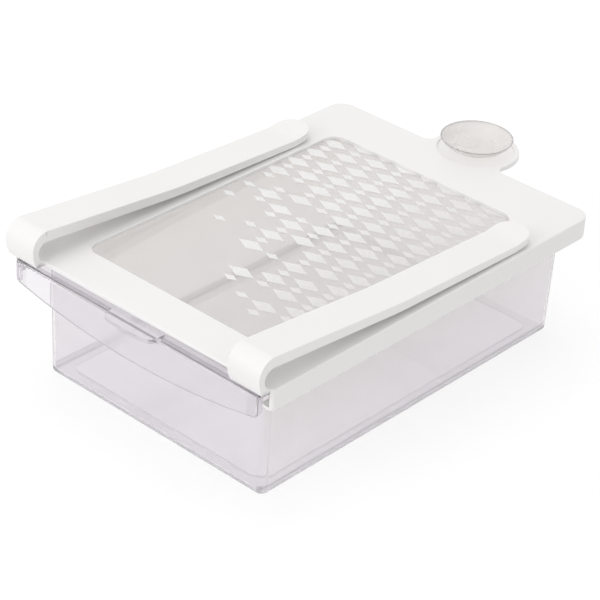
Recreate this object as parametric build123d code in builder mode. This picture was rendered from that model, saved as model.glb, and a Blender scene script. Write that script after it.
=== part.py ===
"""Fridge drawer organizer: a clear drawer that slides in a frame, which clips under a glass shelf.

Millimetres, +Z up, front towards -Y. The origin is the middle of the whole organizer's footprint,
at the level of the drawer's base, on which it stands when it is not hanging from a shelf.
"""

import os

from build123d import *

# ---------------------------------------------------------------- frame
plate_width = 198.5
plate_length = 275.0
plate_thickness = 2.2
plate_corner = 10.5
plate_front_corner = 2.6
plate_edge_radius = 0.8
skirt_height = 13.0          # plate top to the underside of the rail lips
skirt_wall = 2.2
lip_width = 8.0              # measured from the skirt's outer face
lip_thickness = 2.0
guide_rib_gap = 2.0          # lip's inner edge to the rib's outer face
guide_rib_wall = 1.8

# ---------------------------------------------------------------- clearances of the sliding drawer
slide_clearance = 0.2        # rim to guide ribs above, and rim to rail lips below
side_clearance = 0.7         # rim to each skirt
back_clearance = 1.4         # rim to the back skirt, with the drawer pushed home
panel_clearance = 1.8        # window panel down to the rim
body_to_lip = 6.2            # drawer's side wall, at the rim, to the lip's edge

# ---------------------------------------------------------------- drawer body
drawer_height = 76.3         # base to rim top
body_setback = 12.6          # plate's front edge to the drawer's front wall
body_corner = 5.0
body_draft = 0.7             # each side leans out by this much from base to rim
base_edge_radius = 2.0
drawer_wall = 2.0
drawer_floor = 2.0
floor_edge_radius = 1.6
floor_panel_inset = 9.0      # width of the standing ring round the raised floor
floor_panel_step = 0.8
floor_panel_corner = 8.0

# ---------------------------------------------------------------- drawer rim, apron and finger pull
rim_thickness = 1.8
rim_back_reach = 6.2         # rim's overhang behind the back wall
rim_front_setback = 2.0      # where the full-width rim starts, behind the plate's front edge
apron_step = 3.6             # each end of the apron is this much narrower than the rim
apron_reach = 4.2            # in front of the plate's front edge
apron_wall = 1.8
apron_depth_middle = 23.1    # rim top down to the lower edge
apron_depth_end = 13.1
apron_corner = 3.0
apron_top_radius = 2.2
pull_width = 39.0
pull_root_setback = 3.0      # its root lies this far behind the plate's front edge
pull_taper = 1.4             # each side, from root to corner
pull_reach = 6.2             # in front of the apron
pull_bow = 2.5               # how far the front edge bows out past the two corners
pull_thickness = 2.0
pull_corner = 3.0
pull_bead_width = 1.3
pull_bead_height = 0.8

# ---------------------------------------------------------------- spring clips
clip_inset = 2.2             # plate's side to the clip's outer side
clip_width = 23.0
bend_inner_radius = 6.0
bend_front_wall = 4.35
bend_top_wall = 6.6
bend_setback = 2.0           # plate's front edge to the bend's centre
bend_foot_tuck = 2.85        # nose of the bend back to its foot, at the plate's underside
bend_foot_radius = 1.2
arm_knee_wall = 5.8          # the arm gets thinner from its root, over the knee, to its end
arm_end_wall = 4.3
arm_back_setback = 52.5      # arm's tip to the plate's back edge
arm_tip_length = 18.0        # upturned end
arm_tip_rise = 2.6
arm_knee_setback = 102.0     # where the arm comes lowest, forward to its slight knee
arm_knee_rise = 2.7
arm_touch_gap = 0.8          # arm's lowest line above the plate
arm_knee_radius = 300.0
arm_touch_radius = 26.0
arm_tip_corner = 11.0

# ---------------------------------------------------------------- window
window_to_clip = 3.2
window_front = 27.6          # plate's front edge to the opening
window_back = 38.0           # opening to the plate's back edge
window_corner = 9.0
window_edge_radius = 0.5
panel_overlap = 6.0
panel_thickness = 1.2

# ---------------------------------------------------------------- rear tab and suction cup
tab_reach = 13.0             # plate's back edge to the cup's axis
tab_radius = 27.0
tab_thickness = 3.2
tab_root_radius = 6.0
tab_rim_width = 3.0          # flat ring round the cup's seat
seat_depth = 1.0
cup_radius = 22.5
cup_rim_height = 8.0         # above the plate
cup_rim_wall = 0.9
cup_foot_radius = 11.0
cup_foot_height = 1.0
cup_middle_wall = 2.4
cup_bowl_flat = 6.0          # radius of the flat middle inside the bowl
cup_neck_radius = 3.0
cup_neck_clearance = 0.05
cup_face_clearance = 0.1
cup_head_radius = 5.0
cup_head_height = 2.8
cup_head_chamfer = 1.0

# ---------------------------------------------------------------- levels, from the base up
rim_top = drawer_height
rim_under = rim_top - rim_thickness
plate_under = rim_top + panel_clearance + panel_thickness
plate_top = plate_under + plate_thickness
skirt_under = plate_top - skirt_height
lip_top = skirt_under + lip_thickness
rim_foot = lip_top + slide_clearance
guide_rib_under = rim_top + slide_clearance
arm_root_under = plate_top + 2 * bend_inner_radius
arm_root_top = arm_root_under + bend_top_wall

# ---------------------------------------------------------------- places, from front to back
bend_outer_radius = bend_inner_radius + bend_front_wall
bend_reach = bend_outer_radius - bend_setback
overall_length = bend_reach + plate_length + tab_reach + tab_radius
front = bend_reach - overall_length / 2      # Y of the plate's front edge
back = front + plate_length
tab_y = back + tab_reach
bend_y = front + bend_setback
rim_front = front + rim_front_setback
rim_back = back - skirt_wall - back_clearance
apron_front = front - apron_reach
body_front = front + body_setback
body_back = rim_back - rim_back_reach
body_middle = (body_front + body_back) / 2
body_length = body_back - body_front
window_length = plate_length - window_front - window_back
window_middle = front + window_front + window_length / 2

# ---------------------------------------------------------------- widths
window_width = plate_width - 2 * (clip_inset + clip_width + window_to_clip)
rim_width = plate_width - 2 * (skirt_wall + side_clearance)
apron_width = rim_width - 2 * apron_step
body_width = plate_width - 2 * (lip_width + body_to_lip + body_draft)
clip_outer_x = plate_width / 2 - clip_inset


def box_sketch(width, length, middle_y, corner):
    """A rectangle with four rounded corners, centred on X."""
    with Locations((0, middle_y)):
        RectangleRounded(width, length, corner)


# ---------------------------------------------------------------- frame: plate, skirt, rails, tab, bends
with BuildPart() as frame:
    # Plate and skirt start as one block with rounded corners, the front ones small.
    with BuildSketch(Plane.XY.offset(skirt_under)) as block_outline:
        with Locations((0, front + plate_length / 2)):
            Rectangle(plate_width, plate_length)
        fillet(block_outline.vertices().group_by(Axis.Y)[-1], plate_corner)
        fillet(block_outline.vertices().group_by(Axis.Y)[0], plate_front_corner)
    extrude(amount=skirt_height)

    # The round tab stands out of the back edge and carries the suction cup.
    with BuildSketch(Plane.XY.offset(plate_top)) as tab_outline:
        with Locations((0, back - tab_radius / 2)):
            Rectangle(4 * tab_radius, tab_radius)
        with Locations((0, tab_y)):
            Circle(tab_radius)
        root = tab_outline.vertices().group_by(Axis.Y)[-1]
        inner_root = [v for v in root if abs(v.X) < tab_radius]
        fillet(inner_root, tab_root_radius)
    extrude(amount=-tab_thickness)

    fillet(frame.faces().sort_by(Axis.Z)[-1].outer_wire().edges(), plate_edge_radius)

    # The space that the drawer's rim runs in is open at the front.
    inner_width = plate_width - 2 * skirt_wall
    inner_length = plate_length - skirt_wall
    with BuildSketch(Plane.XY.offset(lip_top)) as rail_space:
        with Locations((0, front + inner_length / 2)):
            Rectangle(inner_width, inner_length)
        fillet(rail_space.vertices().group_by(Axis.Y)[-1], plate_corner - skirt_wall)
    extrude(amount=plate_under - lip_top, mode=Mode.SUBTRACT)
    with BuildSketch(Plane.XY.offset(skirt_under)) as lip_gap:
        with Locations((0, front + inner_length / 2)):
            Rectangle(plate_width - 2 * lip_width, inner_length)
    extrude(amount=lip_thickness, mode=Mode.SUBTRACT)

    # Two ribs under the plate keep the pulled-out drawer level.
    rib_x = plate_width / 2 - lip_width - guide_rib_gap - guide_rib_wall / 2
    with BuildSketch(Plane.XY.offset(plate_under)) as ribs:
        with Locations((-rib_x, front + inner_length / 2), (rib_x, front + inner_length / 2)):
            Rectangle(guide_rib_wall, inner_length)
    extrude(amount=guide_rib_under - plate_under)

    # Window opening.
    with BuildSketch(Plane.XY.offset(plate_top)):
        box_sketch(window_width, window_length, window_middle, window_corner)
    extrude(amount=-plate_thickness, mode=Mode.SUBTRACT)
    opening_edges = frame.edges().filter_by_position(Axis.Z, plate_top, plate_top)
    opening_edges = opening_edges.filter_by_position(Axis.X, -window_width / 2, window_width / 2)
    opening_edges = opening_edges.filter_by_position(
        Axis.Y, front + window_front, back - window_back
    )
    fillet(opening_edges, window_edge_radius)

    # Shallow round seat for the cup, with a hole for its neck.
    with BuildSketch(Plane.XY.offset(plate_top)):
        with Locations((0, tab_y)):
            Circle(tab_radius - tab_rim_width)
    extrude(amount=-seat_depth, mode=Mode.SUBTRACT)
    with BuildSketch(Plane.XY.offset(plate_top)):
        with Locations((0, tab_y)):
            Circle(cup_neck_radius + cup_neck_clearance)
    extrude(amount=-tab_thickness, mode=Mode.SUBTRACT)

    # The springy bend at the front of each clip, up to the seam with its arm.
    with BuildSketch(Plane.YZ.offset(clip_outer_x - clip_width)) as bend_profile:
        with BuildLine():
            bend_top_centre = arm_root_top - bend_outer_radius
            crown = (bend_y, arm_root_top)
            nose = (bend_y - bend_outer_radius, bend_top_centre)
            foot = (nose[0] + bend_foot_tuck, plate_under)
            CenterArc((bend_y, bend_top_centre), bend_outer_radius, 90, 90)
            TangentArc(nose, foot, tangent=(0, -1))
            Polyline(foot, (bend_y, plate_under), (bend_y, plate_top))
            CenterArc((bend_y, plate_top + bend_inner_radius), bend_inner_radius, 90, 180)
            Line((bend_y, arm_root_under), crown)
        make_face()
        foot_vertex = bend_profile.vertices().sort_by_distance((clip_outer_x, *foot))[0]
        fillet(foot_vertex, bend_foot_radius)
    extrude(amount=clip_width)
    mirror(about=Plane.YZ)
frame.part.label = "frame"

# ---------------------------------------------------------------- window panel, bonded under the plate
with BuildPart() as window_panel:
    with BuildSketch(Plane.XY.offset(plate_under)):
        box_sketch(
            window_width + 2 * panel_overlap,
            window_length + 2 * panel_overlap,
            window_middle,
            window_corner + panel_overlap,
        )
    extrude(amount=-panel_thickness)
window_panel.part.label = "window_panel"

# ---------------------------------------------------------------- clip arms
with BuildPart() as clip_arm_right:
    with BuildSketch(Plane.YZ.offset(clip_outer_x - clip_width)) as arm_profile:
        with BuildLine():
            root_under = (bend_y, arm_root_under)
            tip_y = back - arm_back_setback
            touch_y = tip_y - arm_tip_length
            touch = (touch_y, plate_top + arm_touch_gap)
            knee = (touch_y - arm_knee_setback, touch[1] + arm_knee_rise)
            tip = (tip_y, touch[1] + arm_tip_rise)
            knee_top = (knee[0], knee[1] + arm_knee_wall)
            touch_top = (touch[0], touch[1] + arm_end_wall)
            tip_top = (tip[0], tip[1] + arm_end_wall)
            root_top = (bend_y, arm_root_top)
            under_radii = [0, arm_knee_radius, arm_touch_radius, 0]
            FilletPolyline(
                root_under,
                knee,
                touch,
                tip,
                tip_top,
                touch_top,
                knee_top,
                root_top,
                radius=under_radii + under_radii[::-1],
                close=True,
            )
        make_face()
    extrude(amount=clip_width)
    tip_edges = clip_arm_right.edges().filter_by(Axis.Z).group_by(Axis.Y)[-1]
    fillet(tip_edges, arm_tip_corner)
clip_arm_right.part.label = "clip_arm_right"

with BuildPart() as clip_arm_left:
    mirror(clip_arm_right.part, about=Plane.YZ)
clip_arm_left.part.label = "clip_arm_left"

# ---------------------------------------------------------------- drawer
with BuildPart() as drawer:
    # Body: a box that leans out slightly, with a rounded base edge.
    with BuildSketch(Plane.XY):
        box_sketch(body_width, body_length, body_middle, body_corner)
    with BuildSketch(Plane.XY.offset(rim_top)):
        box_sketch(body_width + 2 * body_draft, body_length + 2 * body_draft, body_middle, body_corner)
    loft()
    fillet(drawer.faces().sort_by(Axis.Z)[0].edges(), base_edge_radius)

    # Rim: a flat ledge, wider along the rails than across the front.
    rim_length = rim_back - rim_front
    rim_corner = plate_corner - skirt_wall
    with BuildSketch(Plane.XY.offset(rim_under)):
        box_sketch(rim_width, rim_length, rim_front + rim_length / 2, rim_corner)
        with Locations((0, (apron_front + body_middle) / 2)):
            Rectangle(apron_width, body_middle - apron_front)
    extrude(amount=rim_thickness)

    # Its two long edges turn down and run on the rail lips.
    runner_length = rim_length - 2 * rim_corner
    with BuildSketch(Plane.XY.offset(rim_foot)):
        runner_x = rim_width / 2 - rim_thickness / 2
        runner_y = rim_front + rim_length / 2
        with Locations((-runner_x, runner_y), (runner_x, runner_y)):
            Rectangle(rim_thickness, runner_length)
    extrude(amount=rim_under - rim_foot)

    # Apron: the front of the rim turns down, with short returns and an arched lower edge.
    with BuildSketch(Plane.XZ.offset(-front)) as apron_outline:
        with BuildLine():
            end_x = apron_width / 2
            end_z = rim_top - apron_depth_end
            Polyline((-end_x, end_z), (-end_x, rim_top), (end_x, rim_top), (end_x, end_z))
            ThreePointArc((end_x, end_z), (0, rim_top - apron_depth_middle), (-end_x, end_z))
        make_face()
        fillet(apron_outline.vertices().group_by(Axis.Z)[0], apron_corner)
    extrude(amount=apron_reach)
    apron_top_edge = (
        drawer.edges()
        .filter_by(Axis.X)
        .filter_by_position(Axis.Y, apron_front, apron_front)
        .sort_by(Axis.Z)[-1]
    )
    fillet(apron_top_edge, apron_top_radius)
    grip_width = apron_width - 2 * apron_wall
    grip_depth = apron_reach - apron_wall
    with BuildSketch(Plane.XY.offset(rim_under)):
        with Locations((0, front - grip_depth / 2)):
            Rectangle(grip_width, grip_depth)
    extrude(amount=-apron_depth_middle, mode=Mode.SUBTRACT)

    # Cavity with a rounded floor edge.
    cavity_width = body_width - 2 * drawer_wall
    cavity_length = body_length - 2 * drawer_wall
    cavity_corner = body_corner - drawer_wall
    with BuildSketch(Plane.XY.offset(drawer_floor)):
        box_sketch(cavity_width, cavity_length, body_middle, cavity_corner)
    with BuildSketch(Plane.XY.offset(rim_top)):
        box_sketch(cavity_width + 2 * body_draft, cavity_length + 2 * body_draft, body_middle, cavity_corner)
    loft(mode=Mode.SUBTRACT)
    floor_face = drawer.faces().filter_by(Plane.XY).sort_by(Axis.Z)[1]
    fillet(floor_face.edges(), floor_edge_radius)

    # The floor is raised inside a standing ring.
    panel_width = body_width - 2 * floor_panel_inset
    panel_length = body_length - 2 * floor_panel_inset
    with BuildSketch(Plane.XY.offset(drawer_floor)):
        box_sketch(panel_width, panel_length, body_middle, floor_panel_corner)
    extrude(amount=floor_panel_step)
    with BuildSketch(Plane.XY):
        box_sketch(panel_width, panel_length, body_middle, floor_panel_corner)
    extrude(amount=floor_panel_step, mode=Mode.SUBTRACT)

    # Finger pull in the middle of the front, with a bead along its edge.
    with BuildSketch(Plane.XY.offset(rim_top - pull_thickness)) as pull_outline:
        with BuildLine():
            nose_y = apron_front - pull_reach
            root_y = front + pull_root_setback
            shoulder = (pull_width / 2 - pull_taper, nose_y + pull_bow)
            far_shoulder = (-shoulder[0], shoulder[1])
            Polyline(far_shoulder, (-pull_width / 2, root_y), (pull_width / 2, root_y), shoulder)
            ThreePointArc(shoulder, (0, nose_y), far_shoulder)
        make_face()
        fillet(pull_outline.vertices().group_by(Axis.Y)[0], pull_corner)
    extrude(amount=pull_thickness)
    with BuildSketch(Plane.XY.offset(rim_top)) as pull_bead:
        add(pull_outline.sketch.moved(Location((0, 0, pull_thickness))))
        offset(amount=-pull_bead_width, mode=Mode.INTERSECT)
    bead_floor = pull_bead.sketch
    with BuildSketch(Plane.XY.offset(rim_top)):
        add(pull_outline.sketch.moved(Location((0, 0, pull_thickness))))
        add(bead_floor, mode=Mode.SUBTRACT)
        with Locations((0, root_y)):
            Rectangle(pull_width, 2 * pull_bead_width, mode=Mode.SUBTRACT)
    extrude(amount=pull_bead_height)
drawer.part.label = "drawer"

# ---------------------------------------------------------------- suction cup
with BuildPart() as suction_cup:
    with BuildSketch(Plane.XZ.offset(-tab_y)) as cup_profile:
        with BuildLine():
            seat_z = plate_top - seat_depth + cup_face_clearance
            head_top = plate_top - tab_thickness - cup_face_clearance
            head_under = head_top - cup_head_height
            rim_z = plate_top + cup_rim_height
            bowl_z = seat_z + cup_middle_wall
            Polyline(
                (cup_bowl_flat, bowl_z),
                (0, bowl_z),
                (0, head_under),
                (cup_head_radius - cup_head_chamfer, head_under),
                (cup_head_radius, head_under + cup_head_chamfer),
                (cup_head_radius, head_top),
                (cup_neck_radius, head_top),
                (cup_neck_radius, seat_z),
                (cup_foot_radius, seat_z),
                (cup_foot_radius, seat_z + cup_foot_height),
            )
            TangentArc((cup_foot_radius, seat_z + cup_foot_height), (cup_radius, rim_z), tangent=(1, 0.2))
            Line((cup_radius, rim_z), (cup_radius - cup_rim_wall, rim_z))
            TangentArc((cup_bowl_flat, bowl_z), (cup_radius - cup_rim_wall, rim_z), tangent=(1, 0))
        make_face()
    revolve(axis=Axis((0, tab_y, 0), (0, 0, 1)))
suction_cup.part.label = "suction_cup"

# ---------------------------------------------------------------- one STEP file for each piece
os.makedirs("parts", exist_ok=True)
for piece in (frame, window_panel, clip_arm_left, clip_arm_right, drawer, suction_cup):
    export_step(piece.part, f"parts/{piece.part.label}.step")
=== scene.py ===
# %% [markdown]
# # A fridge drawer organizer, dressed in Blender
#
# The organizer hangs under a fridge shelf. It is a white frame with two spring clips, a clear
# drawer that slides in it, a printed window and a soft suction cup. The CAD model gives every size
# and every moving body. This lesson keeps them and adds what a camera sees: rounded edges, the
# print, the plastics, the light. Everything is in metres, with the front towards -Y and the
# drawer's base at Z = 0.

# %% Load the CAD frame
import math

import bmesh
import bpy
from mathutils import Matrix, Vector


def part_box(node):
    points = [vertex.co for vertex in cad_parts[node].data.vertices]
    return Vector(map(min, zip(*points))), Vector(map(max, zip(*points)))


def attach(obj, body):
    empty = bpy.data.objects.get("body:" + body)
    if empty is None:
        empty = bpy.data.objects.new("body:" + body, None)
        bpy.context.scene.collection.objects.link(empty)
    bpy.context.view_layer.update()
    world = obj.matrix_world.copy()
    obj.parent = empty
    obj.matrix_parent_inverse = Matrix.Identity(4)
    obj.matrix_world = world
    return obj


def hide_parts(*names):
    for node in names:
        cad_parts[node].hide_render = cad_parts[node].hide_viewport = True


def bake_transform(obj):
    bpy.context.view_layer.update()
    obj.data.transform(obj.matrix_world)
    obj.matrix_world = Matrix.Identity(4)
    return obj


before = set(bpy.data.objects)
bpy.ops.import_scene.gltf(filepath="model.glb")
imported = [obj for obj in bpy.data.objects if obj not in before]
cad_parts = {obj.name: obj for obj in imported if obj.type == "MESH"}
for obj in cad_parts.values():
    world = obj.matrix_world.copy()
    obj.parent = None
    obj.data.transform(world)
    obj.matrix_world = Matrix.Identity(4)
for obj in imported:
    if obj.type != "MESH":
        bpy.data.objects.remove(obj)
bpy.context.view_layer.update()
MM = 0.001
for node in sorted(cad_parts):
    low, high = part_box(node)
    print(node, "is", [round(side / MM, 1) for side in high - low], "mm")

# %% [markdown]
# ## The camera
#
# The picture was taken from the front right and from above with a long lens. Its place was found
# by laying the known outline of the plate over the picture. The axes of the camera follow from
# three plain angles: how far it turns, how far it looks down, and a slight roll.

# %% Camera at the photograph's angle
CAMERA_PLACE = Vector((0.7214, -0.8607, 0.7125))
CAMERA_TURN = math.radians(40.69)
CAMERA_DOWN = math.radians(31.43)
CAMERA_ROLL = math.radians(3.776)
CAMERA_LENS = 133.76  # millimetres
SENSOR_WIDTH = 36.0  # millimetres
FARTHEST_SEEN = 50.0  # metres

scene = bpy.context.scene
camera = bpy.data.objects.new("camera", bpy.data.cameras.new("camera"))
scene.collection.objects.link(camera)
scene.camera = camera
camera.data.sensor_width = SENSOR_WIDTH
camera.data.lens = CAMERA_LENS
camera.data.clip_end = FARTHEST_SEEN
turned = Matrix.Rotation(CAMERA_TURN, 4, "Z")
looking = Matrix.Rotation(math.pi / 2 - CAMERA_DOWN, 4, "X")
rolled = Matrix.Rotation(CAMERA_ROLL, 4, "Z")
camera.matrix_world = Matrix.Translation(CAMERA_PLACE) @ turned @ looking @ rolled
ahead = camera.matrix_world.to_3x3() @ Vector((0, 0, -1))
print("camera looks along", [round(v, 3) for v in ahead])

# %% [markdown]
# ## A small language for materials
#
# A material is a graph of nodes. To write one as plain sums, `Signal` wraps a socket, and each
# operator on it adds one Math node. Every other kind of node comes from `Finish.node`, which sets
# the node's own settings first and its sockets after. Two sums come back so often that they have
# names: `beyond` and `between` turn a distance into a mask with soft edges.

# %% Signal
SOFT_EDGE = 0.3 * MM


class Signal:
    """A number or colour that flows out of a socket. Sums on numbers add Math nodes."""

    def __init__(self, finish, socket):
        self.finish = finish
        self.socket = socket

    def math(self, operation, first, second):
        settings = {"operation": operation}
        return self.finish.node("ShaderNodeMath", settings, {0: first, 1: second})

    def __add__(self, other):
        return self.math("ADD", self, other)

    def __sub__(self, other):
        return self.math("SUBTRACT", self, other)

    def __rsub__(self, other):
        return self.math("SUBTRACT", other, self)

    def __mul__(self, other):
        return self.math("MULTIPLY", self, other)

    __radd__ = __add__
    __rmul__ = __mul__

    def clamped(self):
        settings = {"operation": "ADD", "use_clamp": True}
        return self.finish.node("ShaderNodeMath", settings, {0: self, 1: 0.0})

    def beyond(self, level, blur=SOFT_EDGE):
        """0 up to the level, then 1, over a short blur."""
        return ((self - level) * (1.0 / blur)).clamped()

    def between(self, low, high, low_blur=SOFT_EDGE, high_blur=SOFT_EDGE):
        """1 from the low level to the high one, and 0 outside them."""
        return self.beyond(low, low_blur) * (1.0 - self.beyond(high, high_blur))


print("a mask's edge is", round(SOFT_EDGE / MM, 2), "mm wide unless it says otherwise")

# %% Finish


class Finish:
    """One material or world, and the way its nodes are made."""

    def __init__(self, owner):
        self.owner = owner
        owner.use_nodes = True
        self.tree = owner.node_tree
        self.tree.nodes.clear()

    def node(self, kind, settings=None, sockets=None, out=0):
        made = self.tree.nodes.new(kind)
        for name, value in (settings or {}).items():
            setattr(made, name, value)
        for name, value in (sockets or {}).items():
            if isinstance(value, Signal):
                self.tree.links.new(value.socket, made.inputs[name])
            else:
                made.inputs[name].default_value = value
        return Signal(self, made.outputs[out]) if made.outputs else made

    def vector(self, operation, first, second=(0.0, 0.0, 0.0), out="Vector"):
        settings = {"operation": operation}
        return self.node("ShaderNodeVectorMath", settings, {0: first, 1: second}, out)

    def place(self):
        return self.node("ShaderNodeTexCoord", out="Object")

    def along(self, axis):
        return self.node("ShaderNodeSeparateXYZ", None, {0: self.place()}, out=axis)

    def noise(self, scale, detail=2.0, rough=0.5, at=None):
        sockets = {"Vector": at or self.place(), "Scale": scale, "Detail": detail, "Roughness": rough}
        return self.node("ShaderNodeTexNoise", None, sockets, out="Fac")

    def blend_colours(self, share, first, second):
        # The Mix node has a socket of each name for every data type, so the colour ones go by index.
        sockets = {0: share, 6: first, 7: second}
        return self.node("ShaderNodeMix", {"data_type": "RGBA"}, sockets, out=2)

    def bump(self, height, strength, distance):
        sockets = {"Height": height, "Strength": strength, "Distance": distance}
        return self.node("ShaderNodeBump", None, sockets)

    def surface(self, shader, output="ShaderNodeOutputMaterial"):
        self.node(output, None, {"Surface": shader})
        return self.owner


def rgb(red, green, blue):
    return (red, green, blue, 1.0)


print("materials are written with", Finish.__name__, "and", Signal.__name__)

# %% [markdown]
# ## White plastic
#
# The frame and its clips are injection-moulded polypropylene: warm white, satin, with a very fine
# spark-eroded grain from the mould and slow clouds of gloss where the melt has flowed. The grain is
# a bump a few hundredths of a millimetre high. The clouds only shift roughness and tone by a little.

# %% White plastic
PLASTIC_IOR = 1.49


def white_plastic():
    finish = Finish(bpy.data.materials.new("moulded_white"))
    flow = finish.noise(14.0, 3.0, 0.55)
    grain = finish.noise(2600.0, 2.0, 0.6)
    ripple = finish.noise(90.0, 2.0, 0.5)
    colour = finish.blend_colours(flow, rgb(0.862, 0.852, 0.843), rgb(0.890, 0.882, 0.876))
    sockets = {
        "Base Color": colour,
        "Roughness": 0.34 + 0.10 * flow + 0.08 * grain,
        "Normal": finish.bump(grain + 2.0 * ripple, 0.35, 0.04 * MM),
        "IOR": PLASTIC_IOR,
    }
    return finish.surface(finish.node("ShaderNodeBsdfPrincipled", None, sockets))


WHITE = white_plastic()
print("made", WHITE.name)

# %% [markdown]
# ## Clear plastic
#
# The drawer is clear styrene with walls of 2 mm. Light has to go in through one face and out
# through the other, so its solid keeps both, and the shader refracts. Two things make it look
# moulded and not ground like glass: slow waves in its faces, and a faint lilac grey that deepens
# with every wall the eye looks through. Rays that only carry light pass straight through with a
# small loss, because sharp caustics take far longer to render than they are worth here.

# %% Clear plastic


def light_only(finish):
    """1 for rays that only carry light: those towards a lamp, and those that leave a matt surface."""
    shadow_ray = finish.node("ShaderNodeLightPath", out="Is Shadow Ray")
    diffuse_ray = finish.node("ShaderNodeLightPath", out="Is Diffuse Ray")
    return (shadow_ray + diffuse_ray).clamped()


def let_straight_through(finish, share, sockets, shade):
    """A plastic that refracts, apart from the share of rays that pass straight through it."""
    solid = finish.node("ShaderNodeBsdfPrincipled", None, sockets)
    passing = finish.node("ShaderNodeBsdfTransparent", None, {"Color": shade})
    return finish.surface(finish.node("ShaderNodeMixShader", None, {0: share, 1: solid, 2: passing}))


def clear_plastic(name, tint, shade, rough, haze_share, wave_height, details=None):
    finish = Finish(bpy.data.materials.new(name))
    waves = finish.noise(16.0, 1.0, 0.4)
    haze = finish.noise(60.0, 3.0, 0.6)
    paler_tint = rgb(*[channel * 1.04 for channel in tint[:3]])
    colour = finish.blend_colours(haze, tint, paler_tint)
    straight = light_only(finish)
    if details:
        colour, thin = details(finish, colour)
        straight = (straight + thin).clamped()
    sockets = {
        "Base Color": colour,
        "Roughness": rough + 0.5 * rough * haze,
        "Transmission Weight": 1.0 - haze_share,
        "IOR": PLASTIC_IOR,
        "Normal": finish.bump(waves, 0.5, wave_height),
    }
    return let_straight_through(finish, straight, sockets, shade)


WINDOW = clear_plastic(
    "clear_window_sheet",
    tint=rgb(0.83, 0.81, 0.788),
    shade=rgb(0.94, 0.935, 0.93),
    rough=0.04,
    haze_share=0.06,
    wave_height=0.1 * MM,
)
print("made", WINDOW.name)

# %% [markdown]
# ## The drawer's colours and painted shade
#
# A clear box isn't one even colour. Its side walls are painted lighter at their foot and darker and
# warmer higher up, a painted shade for the plate that hangs over them. Its edges get painted shade
# too, darker than its walls where refraction and contact would show dark: the apron's top under the
# plate's front edge, the apron's ends, the foot of each side wall and the line on which the drawer
# stands. Faint streaks of tone run through the walls with it. Each of these is a mask made of
# distances on the drawer, in Object coordinates. Along the base and on the two rounded lines of the
# finger pull, refraction alone would turn the thin edges black, so there a share of the rays passes
# straight through.

# %% Places on the drawer
RIM_BELOW_BENDS = 23.8 * MM
RIM_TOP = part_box("frame")[1].z - RIM_BELOW_BENDS
PLATE_FRONT_Y = -153.4 * MM
PULL_HALF_WIDTH = 20.5 * MM
FOOT_HEIGHT = 4.0 * MM
drawer_points = [vert.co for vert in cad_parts["drawer"].data.vertices]
BODY_SIDE = max(point.x for point in drawer_points if point.z < FOOT_HEIGHT)
print("the drawer's body is", round(2 * BODY_SIDE / MM, 1), "mm wide at its foot")


def edge_shade_and_streaks(finish, from_middle, height, before_plate):
    """Painted shade along the drawer's edges, with faint streaks of the plastic's own tone."""
    # painted shade: the apron's top under the plate, the apron's ends, the foot of each wall and the base
    # line stand in for shadow and dark refraction; only the streaks are the plastic's own tone
    foot_width = from_middle.between(BODY_SIDE - 4.2 * MM, BODY_SIDE - 1.5 * MM)
    wall_foot = foot_width * (1.0 - height.beyond(5.0 * MM))
    base_line = 1.0 - height.beyond(0.5 * MM, 0.4 * MM)
    apron_top = before_plate * from_middle.beyond(PULL_HALF_WIDTH) * height.beyond(RIM_TOP - 0.4 * MM)
    apron_end = before_plate * from_middle.beyond(BODY_SIDE + 0.5 * MM)
    streaks = finish.noise(1.0, 3.0, 0.6, at=finish.vector("MULTIPLY", finish.place(), (6.0, 14.0, 60.0)))
    return 0.6 * apron_top + 0.1 * apron_end + 0.55 * wall_foot + 0.3 * base_line + 0.05 * streaks


def thin_edges(from_middle, height, before_plate):
    """How much passes straight through the base's edge and the finger pull's two rounded lines."""
    pull_top = height.between(RIM_TOP - 0.15 * MM, RIM_TOP + 0.1 * MM, 0.1 * MM, 0.1 * MM)
    pull_base = height.between(RIM_TOP - 2.4 * MM, RIM_TOP - 1.8 * MM, SOFT_EDGE, 0.1 * MM)
    pull = before_plate * (1.0 - from_middle.beyond(PULL_HALF_WIDTH)) * (pull_top + pull_base)
    base_edge = 1.0 - height.beyond(1.8 * MM)
    return 0.25 * base_edge + 0.7 * pull


# %% Drawer plastic


def drawer_details(finish, colour):
    """The drawer's colour with painted shade on its sides and edges, and where its edges are thin."""
    from_middle = finish.node("ShaderNodeMath", {"operation": "ABSOLUTE"}, {0: finish.along("X")})
    height = finish.along("Z")
    before_plate = 1.0 - finish.along("Y").beyond(PLATE_FRONT_Y)
    # painted light and shade: the side walls are lighter at their foot and darker and warmer higher up,
    # for the plate that hangs over them
    rise = height.beyond(8.0 * MM, 50.0 * MM)
    side_shade_colour = finish.blend_colours(rise, rgb(0.96, 0.945, 0.955), rgb(0.865, 0.85, 0.835))
    sides = 0.7 * from_middle.beyond(BODY_SIDE - 3.0 * MM) * (1.0 - before_plate)
    painted_shade_and_streaks = edge_shade_and_streaks(finish, from_middle, height, before_plate)
    colour = finish.blend_colours(sides, colour, side_shade_colour)
    # painted shade and streaks: the edges and streaks blend towards a dark lilac grey
    colour = finish.blend_colours(painted_shade_and_streaks, colour, rgb(0.30, 0.28, 0.33))
    return colour, thin_edges(from_middle, height, before_plate)


CLEAR = clear_plastic(
    "clear_styrene",
    tint=rgb(0.895, 0.875, 0.90),
    shade=rgb(0.955, 0.95, 0.957),
    rough=0.03,
    haze_share=0.12,
    wave_height=0.2 * MM,
    details=drawer_details,
)
print("made", CLEAR.name)

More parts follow.
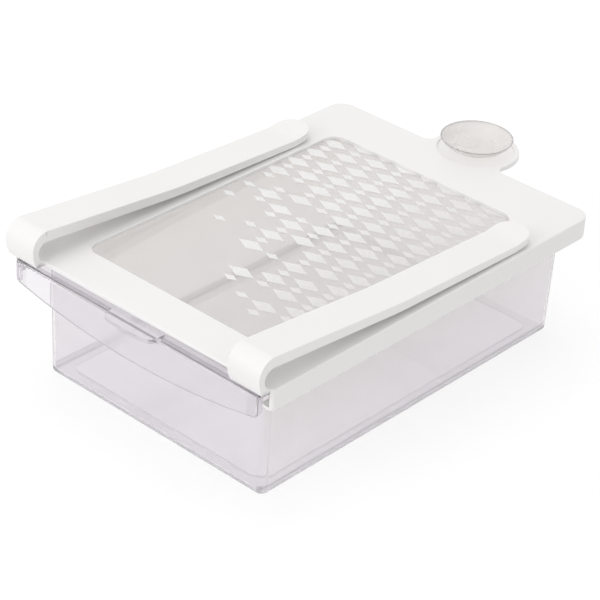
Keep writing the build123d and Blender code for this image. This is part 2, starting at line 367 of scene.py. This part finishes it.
# %% [markdown]
# ## Helpers for moulded shapes
#
# Every piece is a bmesh until it is finished. `round_edges` cuts a small rounding on the edges it
# is given, which is what catches the light on any moulded part. `thickened` turns flat outlines
# into solids, and `cut` slices along a plane. `piece_from` makes the object, at the origin and with
# its place in its mesh. It shades faces smooth except across real edges, and weighs the normals by
# the size of the faces, so that flat faces stay flat beside the tiny ones of the roundings.

# %% Edges to round
SHARP_CORNER = math.radians(50)


def sharp_edges(work):
    """Edges where two faces meet at a sharp corner."""
    return [edge for edge in work.edges if edge.is_manifold and edge.calc_face_angle(0.0) > SHARP_CORNER]


def outer_edges(work):
    """The sharp edges that stand proud, without those that run into a hollow corner."""
    sharp = sharp_edges(work)
    hollow = {vert for edge in sharp if not edge.is_convex for vert in edge.verts}
    return [edge for edge in sharp if edge.is_convex and not hollow.intersection(edge.verts)]


def round_edges(work, edges, radius, segments=2):
    bmesh.ops.bevel(
        work,
        geom=edges,
        offset=radius,
        offset_type="OFFSET",
        segments=segments,
        profile=0.5,
        affect="EDGES",
        clamp_overlap=False,
        material=-1,
    )


print("a corner is sharp from", round(math.degrees(SHARP_CORNER)), "degrees")

# %% From outline to finished piece
SAME_POINT = 0.001 * MM
SAME_PLANE = 0.01 * MM
SMOOTH_BELOW = math.radians(32)


def cut(work, point, normal, drop_outside=False):
    """Cuts along a plane, and drops what lies on the side its normal points to where that is asked."""
    geom = work.verts[:] + work.edges[:] + work.faces[:]
    bmesh.ops.bisect_plane(work, geom=geom, plane_co=point, plane_no=normal, clear_outer=drop_outside)


def thickened(work, move):
    """Pushes flat outlines into solids."""
    made = bmesh.ops.extrude_face_region(work, geom=work.faces[:])
    moved = [part for part in made["geom"] if isinstance(part, bmesh.types.BMVert)]
    bmesh.ops.translate(work, verts=moved, vec=move)
    bmesh.ops.recalc_face_normals(work, faces=work.faces)


def piece_from(work, name, material, smooth_below=SMOOTH_BELOW):
    mesh = bpy.data.meshes.new(name)
    work.to_mesh(mesh)
    work.free()
    mesh.shade_smooth()
    mesh.set_sharp_from_angle(angle=smooth_below)
    mesh.materials.append(material)
    made = bpy.data.objects.new(name, mesh)
    scene.collection.objects.link(made)
    flat_faces = made.modifiers.new("flat_faces_shade_flat", "WEIGHTED_NORMAL")
    flat_faces.keep_sharp = True
    print(name, "has", len(mesh.polygons), "faces")
    return made


print("faces shade smooth where they meet at less than", round(math.degrees(SMOOTH_BELOW)), "degrees")

# %% [markdown]
# ## The frame
#
# The plate, its skirt, the rails and the two spring bends are one moulding, and the CAD solid has
# their true shape. A merged copy of it gets what the CAD leaves out: a rounding of a few tenths of
# a millimetre on the edges that stand proud. Where an edge runs into a hollow corner it stays
# sharp, because a rounding would throw stray points there. The flat ends of the bends stay sharp
# too, because the arms go on from there.

# %% Frame moulding
BEND_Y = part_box("clip_arm_left")[0].y
PLATE_TOP = 81.5 * MM
ROOTS_ABOVE = PLATE_TOP + 5.0 * MM  # on the bends' ends, only the arms' roots are above this
EDGE_ROUNDING = 0.35 * MM


def merged_copy(node):
    work = bmesh.new()
    work.from_mesh(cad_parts[node].data)
    bmesh.ops.remove_doubles(work, verts=work.verts, dist=SAME_POINT)
    return work


def off_the_seam(edge):
    """False on the flat ends of the bends, where the arms go on."""
    ends = [vert.co for vert in edge.verts]
    return not all(abs(co.y - BEND_Y) < SAME_PLANE and co.z > ROOTS_ABOVE for co in ends)


def round_outside(work):
    """Rounds the edges that stand proud, and leaves the seam between frame and arm."""
    rounded = [edge for edge in outer_edges(work) if off_the_seam(edge)]
    round_edges(work, rounded, EDGE_ROUNDING)


work = merged_copy("frame")
round_outside(work)
frame_moulding = piece_from(work, "frame_moulding", WHITE)
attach(frame_moulding, "frame")
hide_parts("frame")

# %% [markdown]
# ## The clip arms
#
# Each arm goes on from its bend, comes down in a straight line, bends slightly at a knee, comes
# closest to the plate in front of its tip and turns up again. It is an outline seen from the side,
# pushed sideways to its width.

# %% Outline of an arm, seen from the side
ARM_ROOT_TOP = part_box("clip_arm_left")[1].z
ARM_TIP_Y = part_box("clip_arm_left")[1].y
ARM_INNER_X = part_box("clip_arm_right")[0].x
ARM_OUTER_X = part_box("clip_arm_right")[1].x
ROOT_WALL, KNEE_WALL, END_WALL = 6.6 * MM, 5.8 * MM, 4.3 * MM
TIP_LENGTH, TIP_RISE = 18.0 * MM, 2.6 * MM
KNEE_SETBACK, KNEE_RISE = 102.0 * MM, 2.7 * MM
KNEE_RADIUS, TOUCH_RADIUS = 300.0 * MM, 26.0 * MM
TOUCH_Z = PLATE_TOP + 0.8 * MM
EASED_CORNERS = (  # each corner's number in the outline, its radius and its segments
    (1, KNEE_RADIUS, 6),
    (2, TOUCH_RADIUS, 8),
    (5, TOUCH_RADIUS, 8),
    (6, KNEE_RADIUS, 6),
)


def arm_outline(work, x):
    touch_y = ARM_TIP_Y - TIP_LENGTH
    knee_y = touch_y - KNEE_SETBACK
    knee_z = TOUCH_Z + KNEE_RISE
    tip_z = TOUCH_Z + TIP_RISE
    outline = (
        (BEND_Y, ARM_ROOT_TOP - ROOT_WALL),
        (knee_y, knee_z),
        (touch_y, TOUCH_Z),
        (ARM_TIP_Y, tip_z),
        (ARM_TIP_Y, tip_z + END_WALL),
        (touch_y, TOUCH_Z + END_WALL),
        (knee_y, knee_z + KNEE_WALL),
        (BEND_Y, ARM_ROOT_TOP),
    )
    corners = [work.verts.new((x, y, z)) for y, z in outline]
    work.faces.new(corners)
    return corners


def ease_corner(work, corner, radius, segments):
    """Rounds one corner of a flat outline to the radius."""
    first, second = [edge.other_vert(corner).co - corner.co for edge in corner.link_edges]
    reach = radius / math.tan(first.angle(second) / 2)
    bmesh.ops.bevel(
        work,
        geom=[corner],
        offset=reach,
        offset_type="OFFSET",
        segments=segments,
        profile=0.5,
        affect="VERTICES",
        material=-1,
    )


print("an arm is", round((ARM_TIP_Y - BEND_Y) / MM, 1), "mm long from its bend to its tip")

# %% Both arms
TIP_CORNER, TIP_SEGMENTS = 11.0 * MM, 12
ROOT_CUTS = (1.5 * MM, 3.0 * MM, 5.0 * MM, 8.0 * MM, 12.0 * MM)


def upright_at_tip(edge):
    """True for the two upright edges of the tip's flat end."""
    first, second = [vert.co for vert in edge.verts]
    at_tip = all(abs(co.y - ARM_TIP_Y) < SAME_PLANE for co in (first, second))
    return at_tip and abs(first.x - second.x) < SAME_PLANE


def clip_arm(name, side):
    work = bmesh.new()
    corners = arm_outline(work, ARM_INNER_X)
    for number, radius, segments in EASED_CORNERS:
        ease_corner(work, corners[number], radius, segments)
    thickened(work, (ARM_OUTER_X - ARM_INNER_X, 0, 0))
    tips = [edge for edge in work.edges if upright_at_tip(edge)]
    round_edges(work, tips, TIP_CORNER, TIP_SEGMENTS)
    round_outside(work)
    for distance in ROOT_CUTS:
        cut(work, (0, BEND_Y + distance, 0), (0, 1, 0))
    if side < 0:
        bmesh.ops.scale(work, vec=(-1, 1, 1), verts=work.verts)
        bmesh.ops.recalc_face_normals(work, faces=work.faces)
    return piece_from(work, name, WHITE)


for name, side, node, body in (
    ("left_arm", -1, "clip_arm_left", "left_clip"),
    ("right_arm", 1, "clip_arm_right", "right_clip"),
):
    arm = clip_arm(name, side)
    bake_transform(arm)
    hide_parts(node)

# %% [markdown]
# ## The drawer
#
# The drawer's CAD solid already has its two walls, its rim, its apron and its pull. A merged copy
# gets rounded edges, hollow corners as well, and they show as the thin bright and dark lines of a
# clear moulding.

# %% Drawer moulding
DRAWER_ROUNDING = 0.25 * MM
work = merged_copy("drawer")
round_edges(work, sharp_edges(work), DRAWER_ROUNDING)
drawer_moulding = piece_from(work, "drawer_moulding", CLEAR)
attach(drawer_moulding, "drawer")
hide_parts("drawer")

# %% [markdown]
# ## The window and its print
#
# The window is a clear sheet bonded under the plate, and its CAD solid has its shape, so it stays
# and only gets the finish of clear sheet. On it is a screen print of white diamonds, a common
# harlequin lattice that thins out towards the front left. The print is real geometry: diamonds a
# few hundredths of a millimetre thick, cut off where the plate covers them. Its ink lets a little
# light through, and more of it towards the right.

# %% Window sheet
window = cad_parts["window_panel"]
for material_slot in window.material_slots:
    material_slot.material = WINDOW
panel_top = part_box("window_panel")[1].z
print("window sheet's top face is at", round(panel_top / MM, 2), "mm")

# %% Ink
FADES_OVER = 70.0 * MM


def white_ink():
    finish = Finish(bpy.data.materials.new("white_ink"))
    dots = finish.noise(900.0, 2.0, 0.7)
    patch = finish.noise(35.0, 2.0, 0.5)
    fading = finish.along("X").beyond(0.0, FADES_OVER)  # 0 up to the middle, 1 at the right edge
    sockets = {
        "Base Color": finish.blend_colours(patch, rgb(0.90, 0.895, 0.885), rgb(0.94, 0.935, 0.93)),
        "Roughness": 0.5 + 0.2 * dots,
        "Alpha": (0.70 + 0.24 * dots + 0.1 * patch - 0.46 * fading).clamped(),
    }
    return finish.surface(finish.node("ShaderNodeBsdfPrincipled", None, sockets))


INK = white_ink()
print("made", INK.name)

# %% Lattice of the print
LARGE_DIAMOND = (9.7 * MM, 4.7 * MM)  # half width and half depth
SMALL_DIAMOND = (5.0 * MM, 2.6 * MM)
LATTICE_STEP = 16.93 * MM
LATTICE_DRIFT = -0.21 * MM  # each column is printed this much further forward than the last
FIRST_COLUMN_X = -64.1 * MM
FIRST_ROW_Y = -76.5 * MM
ROWS = range(-2, 11)
FIRST_ROWS = (6, 4, 4, 1, 0, 0, -1, -1, -1)  # where each column of large diamonds begins
LARGE_LEFT_OUT = {(1, 5), (3, 4), (4, 1), (4, 2)}
SMALL_LEFT_OUT = {(2, 4), (4, 0), (4, 2), (6, -1), (6, 1)}
SMALL_STRAYS = {(0, 3), (0, 4), (0, 5), (1, 1), (1, 3), (2, 2), (2, 3), (3, 1), (3, 2), (3, 3), (4, -1)}
SMALL_STRAYS |= {(5, -2), (5, -1), (6, -2), (7, -2)}
INK_THICKNESS = 0.05 * MM
OPENING_SIDE = 70.85 * MM
OPENING_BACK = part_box("window_panel")[1].y - 6.0 * MM  # the plate covers the sheet's last 6 mm
OPENING_EDGES = (  # a point on each edge that cuts the print, and the way out from there
    ((OPENING_SIDE, 0, 0), (1, 0, 0)),
    ((-OPENING_SIDE, 0, 0), (-1, 0, 0)),
    ((0, OPENING_BACK, 0), (0, 1, 0)),
)


def diamond(work, x, y, half_sizes):
    made = bmesh.ops.create_circle(work, cap_ends=True, segments=4, radius=1.0)
    bmesh.ops.scale(work, vec=(half_sizes[0], half_sizes[1], 1.0), verts=made["verts"])
    bmesh.ops.translate(work, vec=(x, y, panel_top - INK_THICKNESS / 2), verts=made["verts"])


print("the print has", len(FIRST_ROWS), "columns of diamonds,", round(LATTICE_STEP / MM, 2), "mm apart")

# %% Print
work = bmesh.new()
for column, first_row in enumerate(FIRST_ROWS):
    x = FIRST_COLUMN_X + column * LATTICE_STEP
    for row in ROWS:
        y = FIRST_ROW_Y + (row + 0.5 * (column % 2)) * LATTICE_STEP + column * LATTICE_DRIFT
        spot = (column, row)
        if row >= first_row and spot not in LARGE_LEFT_OUT:
            diamond(work, x, y, LARGE_DIAMOND)
        if spot in SMALL_STRAYS or (row >= first_row and spot not in SMALL_LEFT_OUT):
            diamond(work, x, y + LATTICE_STEP / 2, SMALL_DIAMOND)
for point, outward in OPENING_EDGES:
    cut(work, point, outward, drop_outside=True)
thickened(work, (0, 0, INK_THICKNESS))
window_print = piece_from(work, "window_print", INK)
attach(window_print, "frame")

# %% [markdown]
# ## The suction cup
#
# The cup is soft clear vinyl: a bowl that opens upwards, its foot in the seat of the rear tab, and
# a button under the tab that holds it. It is turned from one profile, spun round its axis. The
# rim's edge is painted darker than the bowl, a painted shade for the dark line a thin clear edge
# shows, and a mask by the distance from the axis draws that ring.

# %% Soft vinyl
CUP_LOW, CUP_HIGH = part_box("suction_cup")
CUP_AXIS = (CUP_LOW + CUP_HIGH) / 2
CUP_RADIUS = (CUP_HIGH.x - CUP_LOW.x) / 2


def soft_clear():
    finish = Finish(bpy.data.materials.new("soft_clear_vinyl"))
    cloud = finish.noise(70.0, 1.0, 0.4)
    from_axis = finish.vector("SUBTRACT", finish.place(), CUP_AXIS)
    flat = finish.vector("MULTIPLY", from_axis, (1.0, 1.0, 0.0))
    radius = finish.vector("LENGTH", flat, out="Value")
    bowl = finish.blend_colours(cloud, rgb(0.80, 0.78, 0.765), rgb(0.85, 0.83, 0.815))
    # painted shade: a dark ring along the rim's thin edge
    painted_rim_shade = 0.75 * radius.beyond(CUP_RADIUS - 1.0 * MM, 0.8 * MM)
    sockets = {
        "Base Color": finish.blend_colours(painted_rim_shade, bowl, rgb(0.35, 0.33, 0.32)),
        "Roughness": 0.2 + 0.12 * cloud,
        "Transmission Weight": 0.5,
        "IOR": PLASTIC_IOR,
        "Normal": finish.bump(cloud, 0.2, 0.1 * MM),
    }
    return let_straight_through(finish, light_only(finish), sockets, rgb(0.965, 0.955, 0.948))


VINYL = soft_clear()
print("made", VINYL.name)

# %% Cup
CUP_STEPS = 96
CUP_SMOOTH_BELOW = math.radians(40)
CUP_PROFILE = (  # radius and height in millimetres, from the underside's middle round to the bowl's
    (0.0, 75.4), (4.0, 75.4), (4.7, 75.7), (5.0, 76.4), (5.0, 78.2), (3.0, 78.2), (3.0, 80.6),
    (10.6, 80.6), (11.0, 80.9), (11.0, 81.6), (15.0, 82.7), (18.4, 84.6), (20.8, 86.9), (22.0, 88.6),
    (22.5, 89.3), (22.3, 89.5), (21.8, 89.4), (20.9, 87.9), (18.9, 85.7), (15.8, 84.0), (11.5, 83.2),
    (6.0, 83.0), (0.0, 83.0),
)
work = bmesh.new()
points = [work.verts.new((r * MM, CUP_AXIS.y, z * MM)) for r, z in CUP_PROFILE]
lines = [work.edges.new(pair) for pair in zip(points, points[1:])]
bmesh.ops.spin(
    work,
    geom=points + lines,
    cent=(0, CUP_AXIS.y, 0),
    axis=(0, 0, 1),
    angle=2 * math.pi,
    steps=CUP_STEPS,
    use_merge=True,
)
bmesh.ops.remove_doubles(work, verts=work.verts, dist=SAME_POINT)
bmesh.ops.recalc_face_normals(work, faces=work.faces)
cup = piece_from(work, "cup_moulding", VINYL, CUP_SMOOTH_BELOW)
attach(cup, "cup")
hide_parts("suction_cup")

# %% [markdown]
# ## Floor, light and world
#
# The organizer stands on a plain white floor in a white room. The floor takes its soft shadows, and
# to the camera it glows a little, so that it reaches pure white where nothing shades it. The same
# goes for rays that come by way of glass or gloss, so the clear drawer shows that white as well.

# %% Floor
FLOOR_HALF_SIZE = 6.0
FLOOR_DROP = 0.2 * MM  # keeps the floor off the drawer's underside


def seen_directly(finish):
    """1 for rays that the camera, a gloss or a clear wall sends, and 0 for rays that light things."""
    camera_ray = finish.node("ShaderNodeLightPath", out="Is Camera Ray")
    glossy_ray = finish.node("ShaderNodeLightPath", out="Is Glossy Ray")
    through_ray = finish.node("ShaderNodeLightPath", out="Is Transmission Ray")
    return (camera_ray + glossy_ray + through_ray).clamped()


def white_floor():
    finish = Finish(bpy.data.materials.new("white_floor"))
    lit = finish.node("ShaderNodeBsdfDiffuse", None, {"Color": rgb(0.86, 0.86, 0.86)})
    shaded = finish.node("ShaderNodeBsdfDiffuse", None, {"Color": rgb(0.38, 0.38, 0.38)})
    glow = finish.node("ShaderNodeEmission", None, {"Color": rgb(1, 1, 1), "Strength": 0.66})
    seen = finish.node("ShaderNodeAddShader", None, {0: shaded, 1: glow})
    sockets = {0: seen_directly(finish), 1: lit, 2: seen}
    return finish.surface(finish.node("ShaderNodeMixShader", None, sockets))


work = bmesh.new()
bmesh.ops.create_grid(work, x_segments=1, y_segments=1, size=FLOOR_HALF_SIZE)
bmesh.ops.translate(work, verts=work.verts, vec=(0, 0, -FLOOR_DROP))
floor = piece_from(work, "floor", white_floor())

# %% World
scene.world = bpy.data.worlds.new("white_room")
room = Finish(scene.world)
lighting = room.node("ShaderNodeBackground", None, {"Color": rgb(1, 1, 1), "Strength": 0.80})
seen = room.node("ShaderNodeBackground", None, {"Color": rgb(1, 1, 1), "Strength": 1.0})
sockets = {0: seen_directly(room), 1: lighting, 2: seen}
room.surface(room.node("ShaderNodeMixShader", None, sockets), "ShaderNodeOutputWorld")
print("made", scene.world.name)

# %% Lamps
WALL_STEPS = 40  # light runs a long way inside clear walls before it comes out


def soft_box(name, place, target, size, power):
    lamp = bpy.data.lights.new(name, "AREA")
    lamp.shape = "SQUARE"
    lamp.size = size
    lamp.energy = power
    made = bpy.data.objects.new(name, lamp)
    made.location = place
    made.rotation_euler = (Vector(target) - Vector(place)).to_track_quat("-Z", "Y").to_euler()
    scene.collection.objects.link(made)


soft_box("top_soft_box", place=(-0.35, 0.15, 1.5), target=(0, 0, 0.05), size=1.2, power=3.6)
soft_box("front_soft_box", place=(-0.25, -1.5, 0.8), target=(0, 0, 0.06), size=1.0, power=6.0)
scene.view_settings.view_transform = "Standard"
scene.cycles.max_bounces = WALL_STEPS
scene.cycles.transmission_bounces = WALL_STEPS
scene.cycles.transparent_max_bounces = WALL_STEPS
